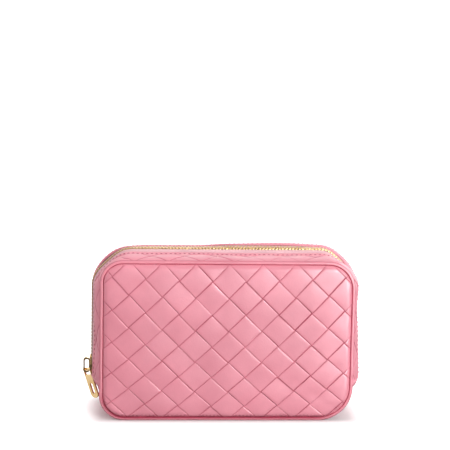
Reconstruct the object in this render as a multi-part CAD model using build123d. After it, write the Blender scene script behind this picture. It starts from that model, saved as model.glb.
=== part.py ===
from build123d import *
from math import pi
import os

# Makeup bag in woven leather: two stiffened panels edged with piping, joined by a gusset that
# carries a metal zip over the top and down both sides. The front half swings forward about its
# bottom seam once the zip is undone. Millimetres; +X to the right, +Y to the back, +Z up;
# the origin is the centre of the base on the surface that the bag stands on.

# Driving dimensions
BAG_WIDTH = 190.0  # over the piping
BAG_HEIGHT = 121.0  # over the piping
SEAM_DEPTH = 60.0  # from one piping's centre line to the other's
CORNER_RADIUS = 20.0  # of the gusset at the seams
ZIP_END = 28.0  # height where the zip meets the lower gusset
SIDE_CROWN = 6.4  # how far the gusset stands out beside the zip, on the sides
TOP_CROWN = 4.9  # and on the top
ZIP_RADIUS = 26.0  # of the corners in the zip's path

# Leather, padding and lining
PIPING_RADIUS = 1.6
CORD_RADIUS = 1.0
PIPING_STANDS_OUT = 0.8  # past the gusset's outer face
PANEL = 1.5
PANEL_STANDS_OUT = 1.4  # past the piping
PADDING = 1.4
LINING = 0.5
STRIP = 1.2
LAYER_GAP = 0.05
SEAM_GAP = 0.3  # between the piping and what it is sewn to
STRIP_SAG = 0.7  # how far each zip strip bows out from a straight line

# Zip
TAPE = 0.7
TAPE_DEPTH = 0.6  # of the tape's middle, under the strips' outer faces
TAPE_EDGE = 1.9
TAPE_BEND = 4.7
STRIP_EDGE = 6.2  # folded leather edge, from the zip's middle
TAPE_HEM = 13.0
TOOTH_PITCH = 2.5
TOOTH = 1.05  # along the zip
TOOTH_ROOT = 2.9
TOOTH_TIP = 0.55
TOOTH_HALF = 1.15
FREE = 0.05  # running gap between tooth and tape

# Slider and pull
SLIDER_LOW = 31.4
SLIDER_LENGTH = 11.4
SLIDER_NOSE = 5.0
SLIDER_TAIL = 4.2
CHANNEL = 1.3  # half the height of the channel that the teeth run in
PLATE = 1.0
FLANGE = 1.0
FLANGE_GAP = 0.7  # half the gap that the tape runs in
BRIDGE_WIDTH = 2.4
BRIDGE_HEIGHT = 4.7
BRIDGE_LOW = 29.3
BRIDGE_HIGH = 40.9
BRIDGE_BOW = 1.1
BRIDGE_FOOT = 0.6
BRIDGE_END = 1.5
PULL_LENGTH = 24.5
PULL_WIDTH = 7.2
PULL = 1.6
PULL_BAR = 0.8  # radius of the round bar in the bridge
PULL_EYE = 5.0
PULL_LEAN = 18.5  # degrees, towards the bag
PULL_TWIST = 20.0  # degrees, about the vertical

# Derived
half_width = BAG_WIDTH / 2
seam_x = half_width - PIPING_RADIUS  # piping centre line
seam_top = BAG_HEIGHT - PIPING_RADIUS
seam_y = SEAM_DEPTH / 2
gusset_x = seam_x + PIPING_STANDS_OUT
gusset_top = seam_top + PIPING_STANDS_OUT
tape_level = SIDE_CROWN - TAPE_DEPTH  # the tape's middle, out from the gusset's seam edge on the sides
zip_x = gusset_x + tape_level
zip_top = gusset_top + TOP_CROWN - TAPE_DEPTH
corner_x = gusset_x - CORNER_RADIUS
corner_z = gusset_top - CORNER_RADIUS
edge_y = seam_y - PIPING_RADIUS - SEAM_GAP  # where gusset leather meets the piping
STRIP_CUTS = (-edge_y, -23.5, -18.0, -TAPE_HEM, -STRIP_EDGE)
plate_low = tape_level + CHANNEL
plate_top = plate_low + PLATE
pivot_z = BRIDGE_LOW + BRIDGE_END + PULL_BAR + 0.4
pivot_out = plate_top + BRIDGE_FOOT + (BRIDGE_HEIGHT - BRIDGE_FOOT - BRIDGE_BOW) / 2


def slab(inset, y_front, thickness):
    """A flat layer with the bag's outline, drawn in from the piping's centre line."""
    low, high = PIPING_RADIUS + inset, seam_top - inset
    radius = CORNER_RADIUS - PIPING_STANDS_OUT - inset
    middle = Plane((0, y_front, (low + high) / 2), x_dir=(1, 0, 0), z_dir=(0, 1, 0))
    return extrude(middle * RectangleRounded(2 * (seam_x - inset), high - low, radius), thickness)


def to_back(shape):
    """The same piece on the back half."""
    return mirror(shape, about=Plane.XZ)


def seam_ring(outer, inner=0.0):
    """A round ring along the front seam: the piping's cover, or the cord in it."""
    height = seam_top - PIPING_RADIUS
    middle = Plane((0, -seam_y, PIPING_RADIUS + height / 2), x_dir=(1, 0, 0), z_dir=(0, -1, 0))
    radius = CORNER_RADIUS - PIPING_STANDS_OUT
    route = (middle * RectangleRounded(2 * seam_x, height, radius)).face().outer_wire()
    section = Circle(outer)
    if inner:
        section -= Circle(inner)
    start = Plane(route @ 0, z_dir=route % 0)
    return sweep(start * section, path=route)


def flat_section(points):
    """A section through the zip on the left side, as (depth, standing out) pairs."""
    corners = (Vector(-gusset_x - out, y, ZIP_END) for y, out in points)
    return make_face(Polyline(*corners, close=True))


def band(y, drop, thickness):
    """A gusset layer cut at depth y: it runs up the left side, over the top and down the right."""
    along = min((edge_y + y) / (edge_y - STRIP_EDGE), 1)
    lift = 4 * STRIP_SAG * along * (1 - along) - drop
    low = ZIP_END + SEAM_GAP
    edges = []
    for inward in (0, thickness):
        x = gusset_x + SIDE_CROWN * along + lift - inward
        top = gusset_top + TOP_CROWN * along + lift - inward
        growth = ZIP_RADIUS + TAPE_DEPTH - CORNER_RADIUS
        radius = CORNER_RADIUS + growth * along + lift - inward
        corners = [(-x, y, low), (-x, y, top), (x, y, top), (x, y, low)]
        edges.append(FilletPolyline(*corners, radius=radius))
    outer, inner = edges
    ends = [Line(outer @ 0, inner @ 0), Line(outer @ 1, inner @ 1)]
    return make_face([*outer.edges(), *inner.edges(), *ends])


def gusset_layer(thickness, cuts):
    """A layer through its cuts, given as (depth, distance under the outer face) pairs."""
    return loft([band(y, drop, thickness) for y, drop in cuts], ruled=True)


def zip_strip():
    return gusset_layer(STRIP, [(y, 0) for y in STRIP_CUTS])


def strip_lining():
    under_tape = STRIP + TAPE + 8 * LAYER_GAP
    cuts = [*STRIP_CUTS[:-1], -STRIP_EDGE - 2]
    return gusset_layer(LINING, [(y, under_tape) for y in cuts])


def zip_tape():
    """Flat where the slider runs, then stepped down under the leather that it is sewn to."""
    flat = TAPE_DEPTH - TAPE / 2
    under = STRIP + 2 * LAYER_GAP
    cuts = [(-TAPE_HEM, under), (-STRIP_EDGE, under), (-TAPE_BEND, flat), (-TAPE_EDGE, flat)]
    return gusset_layer(TAPE, cuts)


def tooth_profile():
    """A tooth's fork and head, as (depth, standing out) pairs; the tape runs in the fork."""
    slot, fork = TAPE / 2 + FREE, TAPE_EDGE - 2 * FREE
    half = [
        (-fork, slot),
        (-TOOTH_ROOT, slot),
        (-TOOTH_ROOT, TOOTH_HALF - 0.1),
        (-TOOTH_ROOT + 0.3, TOOTH_HALF),
        (-0.4, TOOTH_HALF),
        (TOOTH_TIP, TOOTH_HALF - 0.45),
    ]
    return [(y, tape_level + out) for y, out in half] + [
        (y, tape_level - out) for y, out in reversed(half)
    ]


def along_zip(distance):
    """The move that carries a piece from the zip's left end along the zip's path."""
    side, top, turn = zip_run()
    up = min(distance, side)
    move = Pos(0, 0, up)
    first = min(max(distance - side, 0), turn) / turn * 90
    across = min(max(distance - side - turn, 0), top)
    second = min(max(distance - side - turn - top, 0), turn) / turn * 90
    down = max(distance - side - 2 * turn - top, 0)
    for centre_x, angle, slide in ((ZIP_RADIUS - zip_x, first, across), (zip_x - ZIP_RADIUS, second, 0)):
        centre = Pos(centre_x, 0, zip_top - ZIP_RADIUS)
        move = Pos(slide, 0, 0) * centre * Rot(0, angle, 0) * centre.inverse() * move
    return Pos(0, 0, -down) * move


def zip_run():
    """The lengths of the zip's path: one side, the top, and one turn."""
    turn = ZIP_RADIUS * pi / 2
    return zip_top - ZIP_RADIUS - ZIP_END, 2 * (zip_x - ZIP_RADIUS), turn


def zip_teeth(offset):
    """One row of teeth, as separate solids; the rows are half a pitch apart."""
    tooth = extrude(flat_section(tooth_profile()), TOOTH, dir=(0, 0, 1))
    side, top, turn = zip_run()
    first, last = 7.6 + offset, 2 * side + top + 2 * turn - 5.4
    count = int((last - first) / TOOTH_PITCH)
    return [along_zip(first + i * TOOTH_PITCH) * tooth for i in range(count)]


def top_stop():
    """A crimped clip on the tape's edge, where the slider ends its run."""
    slot, fork = TAPE / 2 + FREE, TAPE_EDGE - FREE
    half = [(-fork, slot), (-TOOTH_ROOT, slot), (-TOOTH_ROOT, TOOTH_HALF - 0.1), (-1.5, TOOTH_HALF - 0.1)]
    outline = [(y, tape_level + out) for y, out in half]
    outline += [(y, tape_level - out) for y, out in reversed(half)]
    return Pos(0, 0, 1.4) * extrude(flat_section(outline), 1.8, dir=(0, 0, 1))


def bottom_stop():
    """The clamp that joins both tapes at the zip's right end."""
    slot, fork = TAPE / 2 + FREE, TAPE_EDGE - FREE
    quarter = [(fork, slot), (TOOTH_ROOT, slot), (TOOTH_ROOT, TOOTH_HALF)]
    above = [(-y, tape_level + out) for y, out in quarter]
    above += [(y, tape_level + out) for y, out in reversed(quarter)]
    below = [(y, 2 * tape_level - out) for y, out in reversed(above)]
    clamp = extrude(flat_section(above + below), 3.4, dir=(0, 0, 1))
    return mirror(Pos(0, 0, 1.2) * clamp, about=Plane.YZ)


def lower_band(drop, thickness):
    """A layer of the lower gusset: flat base, round corners, and sides that swell to the zip ends."""
    radius, length = CORNER_RADIUS - drop, 2 * edge_y
    base = Pos(0, 0, drop + thickness / 2) * Box(2 * corner_x, length, thickness)
    across = Plane((0, -edge_y, CORNER_RADIUS), x_dir=(1, 0, 0), z_dir=(0, 1, 0))
    ring = extrude(across * (Circle(radius) - Circle(radius - thickness)), length)
    quarter = Pos(-radius / 2, 0, CORNER_RADIUS - radius / 2) * Box(radius, length, radius)
    corner = Pos(-corner_x, 0, 0) * (ring & quarter)

    def side_section(height, swell):
        def edge(more):
            ends = (-edge_y, 0, edge_y)
            rise = (0, swell, 0)
            points = [Vector(-gusset_x + drop + more - r, y, height) for y, r in zip(ends, rise)]
            return ThreePointArc(*points) if swell else Line(points[0], points[2])

        outer, inner = edge(0), edge(thickness)
        ends = [Line(outer @ 0, inner @ 0), Line(outer @ 1, inner @ 1)]
        return make_face([outer, inner, *ends])

    side = loft([side_section(CORNER_RADIUS, 0), side_section(ZIP_END, SIDE_CROWN + 0.4)], ruled=True)
    half = corner + side
    return base + half + mirror(half, about=Plane.YZ)


def base_stiffener():
    return Pos(0, 0, PANEL + 2 * LAYER_GAP + 0.4) * Box(2 * corner_x, 2 * edge_y - 2, 0.8)


def side_plane(out):
    """A plane over the left side, seen from outside: its x runs to the front, its y up."""
    return Plane((-gusset_x - out, 0, 0), x_dir=(0, -1, 0), z_dir=(-1, 0, 0))


def slider_body():
    """Two plates joined by the wedge that parts the teeth, with flanges along both edges."""
    high = SLIDER_LOW + SLIDER_LENGTH
    shoulder = SLIDER_LOW + 0.45 * SLIDER_LENGTH
    outline = [
        (SLIDER_NOSE - 1.2, SLIDER_LOW),
        (SLIDER_NOSE, SLIDER_LOW + 1.2),
        (SLIDER_NOSE, shoulder),
        (SLIDER_TAIL, high - 0.8),
        (SLIDER_TAIL - 0.8, high),
    ]
    whole = make_face(Polyline(*outline, *((-x, z) for x, z in reversed(outline)), close=True))
    inside = offset(whole, -FLANGE, kind=Kind.INTERSECTION)
    open_ends = Pos(0, (SLIDER_LOW + high) / 2) * Rectangle(2 * (SLIDER_TAIL - FLANGE), 2 * SLIDER_LENGTH)
    rim = whole - inside - open_ends
    wedge_outline = [(0, SLIDER_LOW), (1.1, SLIDER_LOW + 0.4), (1.1, SLIDER_LOW + 1.2), (0, SLIDER_LOW + 3.4)]
    wedge = make_face(Polyline(*wedge_outline, *((-x, z) for x, z in wedge_outline[2:0:-1]), close=True))
    body = Part()
    for side in (1, -1):
        low = CHANNEL if side > 0 else -CHANNEL - PLATE
        plate = extrude(side_plane(tape_level + low) * whole, PLATE)
        outer_edges = plate.faces().sort_by(Axis.X)[0 if side > 0 else -1].edges()
        body += fillet(outer_edges, 0.35)
        flange_low = FLANGE_GAP if side > 0 else -CHANNEL
        body += extrude(side_plane(tape_level + flange_low) * rim, CHANNEL - FLANGE_GAP)
    return body + extrude(side_plane(tape_level - CHANNEL) * wedge, 2 * CHANNEL)


def slider_bridge():
    """The closed loop on the slider that the pull hangs from."""
    low, high = BRIDGE_LOW, BRIDGE_HIGH
    upright = Plane((0, BRIDGE_WIDTH / 2, 0), x_dir=(1, 0, 0), z_dir=(0, -1, 0))
    foot = -gusset_x - plate_top
    outer = Pos(foot - BRIDGE_HEIGHT / 2, (low + high) / 2) * RectangleRounded(BRIDGE_HEIGHT, high - low, 2.0)
    hole_size = BRIDGE_HEIGHT - BRIDGE_FOOT - BRIDGE_BOW
    hole_middle = foot - BRIDGE_FOOT - hole_size / 2
    hole = Pos(hole_middle, (low + high) / 2) * RectangleRounded(hole_size, high - low - 2 * BRIDGE_END, 1.0)
    loop = extrude(upright * (outer - hole), BRIDGE_WIDTH)
    inner_face = loop.faces().filter_by(Axis.X).sort_by(Axis.X)[1]
    return chamfer(inner_face.edges().filter_by(Axis.Z), 0.25)


def pull_tab():
    """A flat pull with an eye for the bridge and a slot near its round end, built hanging straight."""
    end = -(PULL_LENGTH - PULL_WIDTH / 2)
    plan = Pos(0, end / 2) * Rectangle(PULL_WIDTH, -end) + Pos(0, end) * Circle(PULL_WIDTH / 2)
    eye = Pos(0, -(PULL_BAR + PULL_EYE) / 2) * RectangleRounded(5.0, PULL_EYE - PULL_BAR, 0.6)
    slot = Pos(0, -16.4) * SlotOverall(8.6, 2.4, rotation=90)
    tab = extrude(side_plane(0) * (plan - eye - slot), PULL / 2, both=True)
    flat_edges = tab.edges().filter_by(lambda e: abs(abs(e.center().X + gusset_x) - PULL / 2) < 0.01)
    tab = fillet(flat_edges, 0.3) + Pos(-gusset_x, 0, 0) * Rot(90, 0, 0) * Cylinder(PULL_BAR, PULL_WIDTH)
    at_pivot = Pos(-gusset_x - pivot_out, 0, pivot_z)
    # side_plane(0) holds the tab's pivot at the left side and at height 0
    return at_pivot * Rot(0, 0, PULL_TWIST) * Rot(0, -PULL_LEAN, 0) * Pos(gusset_x, 0, 0) * tab


def slip_pocket():
    """A flat pocket on the back lining, open at its top edge."""
    low, high = 14.0, 78.0
    face = inner_face() - 0.1
    return Pos(0, face - 0.35, (low + high) / 2) * Box(140, 0.7, high - low)


def pocket_binding():
    """The leather strip that edges the pocket's mouth."""
    face = inner_face() - 0.1 - 0.7 - LAYER_GAP
    return Pos(0, face - 0.3, 73.0) * Box(140, 0.6, 10.0)


def inner_face():
    """Depth of the back lining's inner face."""
    outer = seam_y + PIPING_RADIUS + PANEL_STANDS_OUT
    return outer - PANEL - PADDING - 2 * LAYER_GAP - LINING


def panel_layers():
    """The front panel's leather, padding and lining, from outside to inside."""
    outer = -(seam_y + PIPING_RADIUS + PANEL_STANDS_OUT)
    inset = PIPING_RADIUS + 2 * LAYER_GAP
    padding_at = outer + PANEL + LAYER_GAP
    lining_at = padding_at + PADDING + LAYER_GAP
    return {
        "panel": slab(inset, outer, PANEL),
        "padding": slab(inset + 0.1, padding_at, PADDING),
        "lining": slab(inset + 0.1, lining_at, LINING),
    }


def half_pieces():
    """Everything on the front half that the back half mirrors."""
    pieces = panel_layers()
    pieces["piping"] = seam_ring(PIPING_RADIUS, CORD_RADIUS + FREE)
    pieces["piping_cord"] = seam_ring(CORD_RADIUS)
    pieces["zip_strip"] = zip_strip()
    pieces["strip_lining"] = strip_lining()
    pieces["zip_tape"] = zip_tape()
    pieces["top_stop"] = top_stop()
    return pieces


def all_pieces():
    pieces = {}
    for name, shape in half_pieces().items():
        pieces["front_" + name] = shape
        pieces["back_" + name] = to_back(shape)
    pieces["front_zip_teeth"] = Compound(children=zip_teeth(0))
    back_row = [to_back(tooth) for tooth in zip_teeth(TOOTH_PITCH / 2)]
    pieces["back_zip_teeth"] = Compound(children=back_row)
    pieces["lower_gusset"] = lower_band(0, PANEL)
    pieces["lower_gusset_lining"] = lower_band(PANEL + 0.9 + 2 * LAYER_GAP, LINING)
    pieces["base_stiffener"] = base_stiffener()
    pieces["bottom_stop"] = bottom_stop()
    pieces["slip_pocket"] = slip_pocket()
    pieces["pocket_binding"] = pocket_binding()
    pieces["slider_body"] = slider_body()
    pieces["slider_bridge"] = slider_bridge()
    pieces["pull_tab"] = pull_tab()
    return pieces


os.makedirs("parts", exist_ok=True)
for node, shape in all_pieces().items():
    export_step(shape, f"parts/{node}.step")
print("pull pivot", -gusset_x - pivot_out, pivot_z, "front hinge", -seam_y, PIPING_RADIUS)
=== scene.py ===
import math

import bpy
import numpy as np
from mathutils import Matrix, Vector


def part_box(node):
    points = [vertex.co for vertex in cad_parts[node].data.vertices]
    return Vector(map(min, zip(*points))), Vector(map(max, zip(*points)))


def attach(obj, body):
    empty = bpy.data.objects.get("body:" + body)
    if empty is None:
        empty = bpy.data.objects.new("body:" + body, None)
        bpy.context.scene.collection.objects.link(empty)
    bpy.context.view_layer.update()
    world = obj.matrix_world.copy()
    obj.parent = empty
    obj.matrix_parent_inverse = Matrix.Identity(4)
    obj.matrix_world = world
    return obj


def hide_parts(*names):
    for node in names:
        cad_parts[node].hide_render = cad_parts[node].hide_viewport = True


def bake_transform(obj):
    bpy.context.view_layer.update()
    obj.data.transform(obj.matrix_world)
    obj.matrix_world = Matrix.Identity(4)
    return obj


# The makeup bag's looks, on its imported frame. The helpers work in millimetres, in the frame's axes:
# +X right, +Y back, +Z up, the origin at the centre of the base. Meshes are made in metres.

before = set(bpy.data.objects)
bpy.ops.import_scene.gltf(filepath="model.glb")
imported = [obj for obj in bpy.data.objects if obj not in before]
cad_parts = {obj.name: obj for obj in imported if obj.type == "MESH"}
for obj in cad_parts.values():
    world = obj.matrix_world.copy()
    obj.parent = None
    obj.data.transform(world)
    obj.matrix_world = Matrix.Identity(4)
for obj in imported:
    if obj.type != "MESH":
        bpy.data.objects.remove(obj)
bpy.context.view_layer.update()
MM = 0.001


def cad(node):
    """A node's lowest and highest corners, in millimetres."""
    low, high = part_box(node)
    return low / MM, high / MM


# Sizes read from the frame
pipe_low, pipe_high = cad("front_piping")
PIPE = (pipe_high.y - pipe_low.y) / 2
SEAM_Y = -(pipe_low.y + pipe_high.y) / 2
SEAM_X = pipe_high.x - PIPE
SEAM_TOP = pipe_high.z - PIPE
SEAM_MIDDLE, SEAM_HALF_Z = (SEAM_TOP + PIPE) / 2, (SEAM_TOP - PIPE) / 2
strip_low, strip_high = cad("front_zip_strip")
ZIP_END = strip_low.z
SEAM_STEP = 0.8  # how far outside the seam the gusset starts
GUSSET_X = SEAM_X + SEAM_STEP
GUSSET_TOP = SEAM_TOP + SEAM_STEP
SIDE_CROWN = strip_high.x - GUSSET_X
TOP_CROWN = strip_high.z - GUSSET_TOP
EDGE_Y = -strip_low.y
HEM_Y = -strip_high.y
PANEL_FACE = -cad("front_panel")[0].y
teeth_high = cad("front_zip_teeth")[1]
TOOTH_RISE = 1.15  # from the middle of a tooth to its top
ZIP_LEVEL = teeth_high.x - TOOTH_RISE - GUSSET_X

# Corner radii
CORNER = 20.0  # the gusset's, at the top
CROWN_RADIUS = 6.6  # how much wider the top corners turn at the zip
TOP_LEFT = 15.5  # the front seam's, tighter than at the right
BASE_LEFT, BASE_RIGHT = 18.0, 25.0  # the base's

# Leather
PITCH_X = 12.35  # half a diamond's width
PITCH_Z = 10.75  # and half its height
RELIEF = 0.31  # how far an upper strip stands over a lower one
PANEL_INSET = 1.2  # from the seam to the panel's edge
FACE_FOOT, FACE_ROUND = 0.5, 2.6  # the height of the panel's edge, and how far in it is rounded over
STITCH_PITCH, STITCH_LENGTH = 3.5, 2.3
SAG = 0.7  # how far the zip strips arch between their edges
HEM_SEAM = 11.0  # how far the stitches of the hems are from the zip's middle
WEAVE_START = 11.2  # where a strip's weave comes out from under its hem
STRIP_REACH = EDGE_Y + 0.6  # and where it ends, in the seam


# ---------------- materials


def new_material(name, colour, roughness, metallic=0.0, specular=0.5):
    """A material with its Principled shader, and its object coordinates for patterns."""
    material = bpy.data.materials.new(name)
    material.use_nodes = True
    nodes, links = material.node_tree.nodes, material.node_tree.links
    shader = nodes["Principled BSDF"]
    shader.inputs["Base Color"].default_value = (*colour, 1)
    shader.inputs["Roughness"].default_value = roughness
    shader.inputs["Metallic"].default_value = metallic
    shader.inputs["Specular IOR Level"].default_value = specular
    place = nodes.new("ShaderNodeTexCoord").outputs["Object"]
    return material, nodes, links, shader, place


def noise(nodes, links, place, scale, detail=2.0, roughness=0.5):
    node = nodes.new("ShaderNodeTexNoise")
    node.inputs["Scale"].default_value = scale
    node.inputs["Detail"].default_value = detail
    node.inputs["Roughness"].default_value = roughness
    links.new(place, node.inputs["Vector"])
    return node.outputs["Fac"]


def ramp(nodes, links, value, low, high, out_low, out_high):
    """Maps a value from one range to another, smoothly."""
    node = nodes.new("ShaderNodeMapRange")
    node.interpolation_type = "SMOOTHSTEP"
    numbers = (low, high, out_low, out_high)
    for name, number in zip(("From Min", "From Max", "To Min", "To Max"), numbers):
        node.inputs[name].default_value = number
    links.new(value, node.inputs["Value"])
    return node.outputs["Result"]


def mix(nodes, links, share, first, second):
    """A mix of two colours, each a colour or a socket; the share of the second comes from a socket."""
    node = nodes.new("ShaderNodeMix")
    node.data_type = "RGBA"
    links.new(share, node.inputs["Factor"])
    for name, value in (("A", first), ("B", second)):
        socket = next(s for s in node.inputs if s.name == name and s.type == "RGBA")
        if isinstance(value, tuple):
            socket.default_value = (*value, 1)
        else:
            links.new(value, socket)
    return next(s for s in node.outputs if s.type == "RGBA")


def bump(nodes, links, shader, layers):
    """Stacks bump maps given as (height socket, distance in metres, strength)."""
    normal = None
    for height, distance, strength in layers:
        node = nodes.new("ShaderNodeBump")
        node.inputs["Distance"].default_value = distance
        node.inputs["Strength"].default_value = strength
        links.new(height, node.inputs["Height"])
        if normal is not None:
            links.new(normal, node.inputs["Normal"])
        normal = node.outputs["Normal"]
    links.new(normal, shader.inputs["Normal"])


def leather(name, colour, shade_colour, roughness):
    """Soft lambskin: fine grain, slow changes of tone, and painted shade in the grooves where strips tuck
    under.
    """
    material, nodes, links, shader, place = new_material(name, colour, roughness, specular=0.34)
    slow = ramp(nodes, links, noise(nodes, links, place, 22, 3), 0.3, 0.7, 0.0, 1.0)
    light = tuple(min(1, c * 1.05 + 0.004) for c in colour)
    dark = tuple(c * 0.95 for c in colour)
    tone = mix(nodes, links, slow, dark, light)
    mottle = ramp(nodes, links, noise(nodes, links, place, 260, 2), 0.35, 0.7, 0.0, 0.12)
    tone = mix(nodes, links, mottle, tone, tuple(c * 0.86 for c in colour))
    # Painted shade: each point's share darkens its colour towards the shade colour and lowers its specular
    # level, in the grooves where strips tuck under and in the creases by the piping.
    groove_shade = nodes.new("ShaderNodeAttribute")
    groove_shade.attribute_name = "groove_shade"
    tone = mix(nodes, links, groove_shade.outputs["Fac"], tone, shade_colour)
    links.new(tone, shader.inputs["Base Color"])
    links.new(
        ramp(nodes, links, groove_shade.outputs["Fac"], 0.0, 0.5, 0.5, 0.1),
        shader.inputs["Specular IOR Level"],
    )
    polish = noise(nodes, links, place, 90, 3)
    links.new(
        ramp(nodes, links, polish, 0.3, 0.7, roughness - 0.05, roughness + 0.06),
        shader.inputs["Roughness"],
    )
    shader.inputs["Sheen Weight"].default_value = 0.06
    shader.inputs["Sheen Roughness"].default_value = 0.45
    pebble = nodes.new("ShaderNodeTexVoronoi")
    pebble.feature = "SMOOTH_F1"
    pebble.inputs["Scale"].default_value = 1150
    pebble.inputs["Smoothness"].default_value = 0.6
    links.new(place, pebble.inputs["Vector"])
    creases = noise(nodes, links, place, 420, 4, 0.6)
    bump(
        nodes,
        links,
        shader,
        [(pebble.outputs["Distance"], 0.00012, 0.35), (creases, 0.00022, 0.3)],
    )
    return material


def cloth(name, colour, threads, roughness=0.85):
    """Plain-woven cloth: crossing threads in the colour and in the bump."""
    material, nodes, links, shader, place = new_material(name, colour, roughness, specular=0.25)
    heights = []
    for axis in ("X", "Y", "Z"):
        wave = nodes.new("ShaderNodeTexWave")
        wave.bands_direction = axis
        wave.wave_profile = "SIN"
        wave.inputs["Scale"].default_value = threads
        wave.inputs["Distortion"].default_value = 0.6
        wave.inputs["Detail"].default_value = 1.0
        wave.inputs["Detail Scale"].default_value = 2.0
        links.new(place, wave.inputs["Vector"])
        heights.append(wave.outputs["Fac"])
    woven = heights[0]
    for other in heights[1:]:
        node = nodes.new("ShaderNodeMath")
        node.operation = "MULTIPLY"
        links.new(woven, node.inputs[0])
        links.new(other, node.inputs[1])
        woven = node.outputs[0]
    slow = ramp(nodes, links, noise(nodes, links, place, 30, 3), 0.3, 0.7, 0.0, 1.0)
    dark, light = tuple(c * 0.93 for c in colour), tuple(min(1, c * 1.05) for c in colour)
    tone = mix(nodes, links, slow, dark, light)
    between = ramp(nodes, links, woven, 0.0, 0.5, 0.22, 0.0)
    tone = mix(nodes, links, between, tone, tuple(c * 0.6 for c in colour))
    links.new(tone, shader.inputs["Base Color"])
    shader.inputs["Sheen Weight"].default_value = 0.25
    shader.inputs["Sheen Roughness"].default_value = 0.5
    fibres = noise(nodes, links, place, 1500, 2)
    bump(nodes, links, shader, [(woven, 0.00018, 0.6), (fibres, 0.0001, 0.3)])
    return material


def gold(name, roughness, shade=1.0):
    """Polished plated metal with faint wear and hairline scratches; shade darkens its colour as painted
    shade.
    """
    material, nodes, links, shader, place = new_material(name, (0.83, 0.60, 0.29), roughness, 1.0)
    slow = ramp(nodes, links, noise(nodes, links, place, 120, 2), 0.35, 0.65, 0.0, 1.0)
    worn, bright = (tuple(c * shade for c in tone) for tone in ((0.80, 0.56, 0.26), (0.88, 0.66, 0.34)))
    tone = mix(nodes, links, slow, worn, bright)
    links.new(tone, shader.inputs["Base Color"])
    stretch = nodes.new("ShaderNodeMapping")
    stretch.inputs["Scale"].default_value = (1, 1, 0.06)
    links.new(place, stretch.inputs["Vector"])
    scratches = noise(nodes, links, stretch.outputs["Vector"], 2600, 3)
    links.new(
        ramp(nodes, links, scratches, 0.4, 0.75, roughness, roughness + 0.12),
        shader.inputs["Roughness"],
    )
    bump(nodes, links, shader, [(scratches, 0.00003, 0.25)])
    return material


def board(name):
    """Grey bookbinder's board with pressed fibres."""
    material, nodes, links, shader, place = new_material(name, (0.25, 0.22, 0.20), 0.9)
    fibres = noise(nodes, links, place, 700, 5, 0.7)
    tone = mix(nodes, links, fibres, (0.16, 0.14, 0.13), (0.36, 0.33, 0.30))
    links.new(tone, shader.inputs["Base Color"])
    bump(nodes, links, shader, [(fibres, 0.0002, 0.4)])
    return material


# The dark pink of the painted shade in the grooves where strips tuck under, and in the creases by the
# piping.
GROOVE_SHADE_COLOUR = (0.40, 0.045, 0.085)
WOVEN = leather("woven_lambskin", (0.80, 0.275, 0.345), GROOVE_SHADE_COLOUR, 0.40)
SMOOTH = leather("smooth_lambskin", (0.79, 0.27, 0.335), GROOVE_SHADE_COLOUR, 0.37)
THREAD = cloth("thread", (0.44, 0.07, 0.12), 900, 0.6)
TAPE = cloth("zip_tape_cloth", (0.86, 0.52, 0.56), 420)
LINING = cloth("lining_cloth", (0.66, 0.42, 0.37), 300)
FOAM = cloth("padding_felt", (0.78, 0.75, 0.70), 150)
CORD = cloth("cord_fibre", (0.80, 0.77, 0.70), 500)
GOLD = gold("gold_plate", 0.15)
# The teeth's gold is darkened to 0.8 of the plate's: painted shade.
TEETH = gold("gold_teeth", 0.30, 0.80)
BOARD = board("grey_board")


# ---------------- mesh helpers


def new_object(name, data):
    """An object of this data, put into the scene."""
    made = bpy.data.objects.new(name, data)
    bpy.context.scene.collection.objects.link(made)
    return made


def make_piece(name, points, faces, material, groove_shade):
    """An object from points in millimetres, with each point's share of the painted shade in grooves and
    creases.
    """
    used = np.unique(np.concatenate([np.ravel(f) for f in faces]))
    new_index = np.full(len(points), -1)
    new_index[used] = np.arange(len(used))
    mesh = bpy.data.meshes.new(name)
    corners = (relaxed(np.asarray(points)[used]) * MM).tolist()
    mesh.from_pydata(corners, [], [new_index[list(f)].tolist() for f in faces])
    attribute = mesh.attributes.new("groove_shade", "FLOAT", "POINT")
    attribute.data.foreach_set("value", np.asarray(groove_shade, np.float32)[used])
    mesh.validate()
    mesh.shade_smooth()
    piece = new_object(name, mesh)
    mesh.materials.append(material)
    return piece


def grid_faces(rows, columns, start=0, closed_rows=False, closed_columns=False):
    """Quads of a grid of points stored row by row."""
    r = np.arange(rows if closed_rows else rows - 1)
    c = np.arange(columns if closed_columns else columns - 1)
    r, c = np.meshgrid(r, c, indexing="ij")
    r, c = r.ravel(), c.ravel()
    r2, c2 = (r + 1) % rows, (c + 1) % columns
    return start + np.stack([r * columns + c, r * columns + c2, r2 * columns + c2, r2 * columns + c], 1)


def facing(points, quads, outward):
    """The quads, turned so that their normals agree with the outward vectors at their first points."""
    a, b, c, d = (points[quads[:, k]] for k in range(4))
    normal = np.cross(c - a, d - b)
    flip = (normal * outward[quads[:, 0]]).sum(1) < 0
    quads = quads.copy()
    quads[flip] = quads[flip][:, ::-1]
    return quads


def to_back(points):
    return points * (1, -1, 1)


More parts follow.
